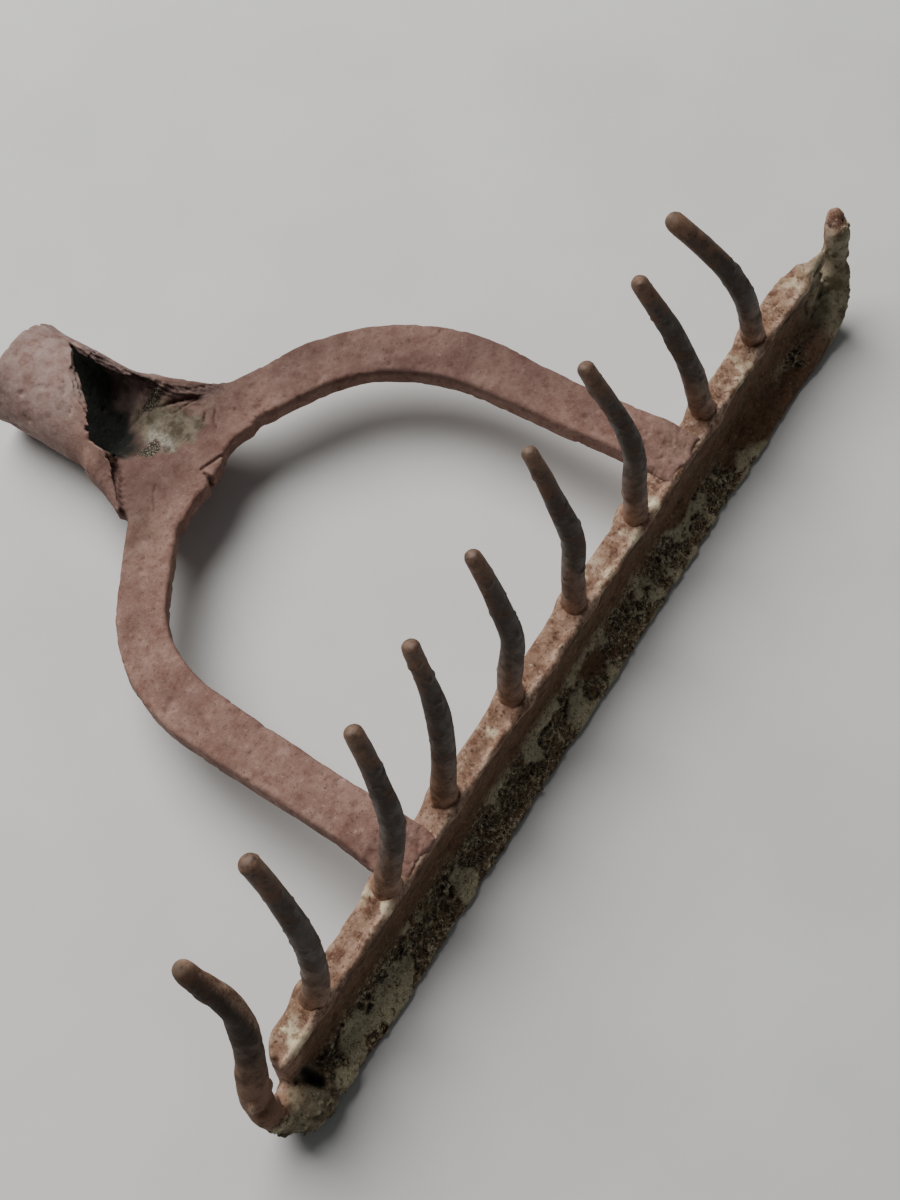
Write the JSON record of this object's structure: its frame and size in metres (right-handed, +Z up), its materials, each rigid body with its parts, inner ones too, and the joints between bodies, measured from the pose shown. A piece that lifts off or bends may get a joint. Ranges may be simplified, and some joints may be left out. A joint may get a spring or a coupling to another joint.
{
  "type": "garden rake head",
  "caption": "Hand-forged iron garden rake head: rolled handle socket, two-armed bow and a tine bar with round, curved tines.",
  "frame": {"origin": "centre of the handle socket's mouth, on the socket's axis", "axes": "+Y along the socket's axis into the head, +X along the tine bar towards its whole end tine, +Z up with the tines pointing up"},
  "size_m": [0.3718, 0.238, 0.1148],
  "materials": {
    "bow_iron": "pinkish brown rust",
    "bar_iron": "dark rust with remains of cream paint",
    "tine_iron": "dark rubbed iron with brown rust"
  },
  "bodies": {
    "root": {"tine_bar": "bar_iron", "tine_2": "tine_iron", "tine_3": "tine_iron", "tine_4": "tine_iron", "tine_5": "tine_iron", "tine_6": "tine_iron", "tine_7": "tine_iron", "tine_8": "tine_iron", "tine_9": "tine_iron", "socket": "bow_iron", "bow_arm_near": "bow_iron", "bow_arm_far": "bow_iron"}
  },
  "joints": []
}
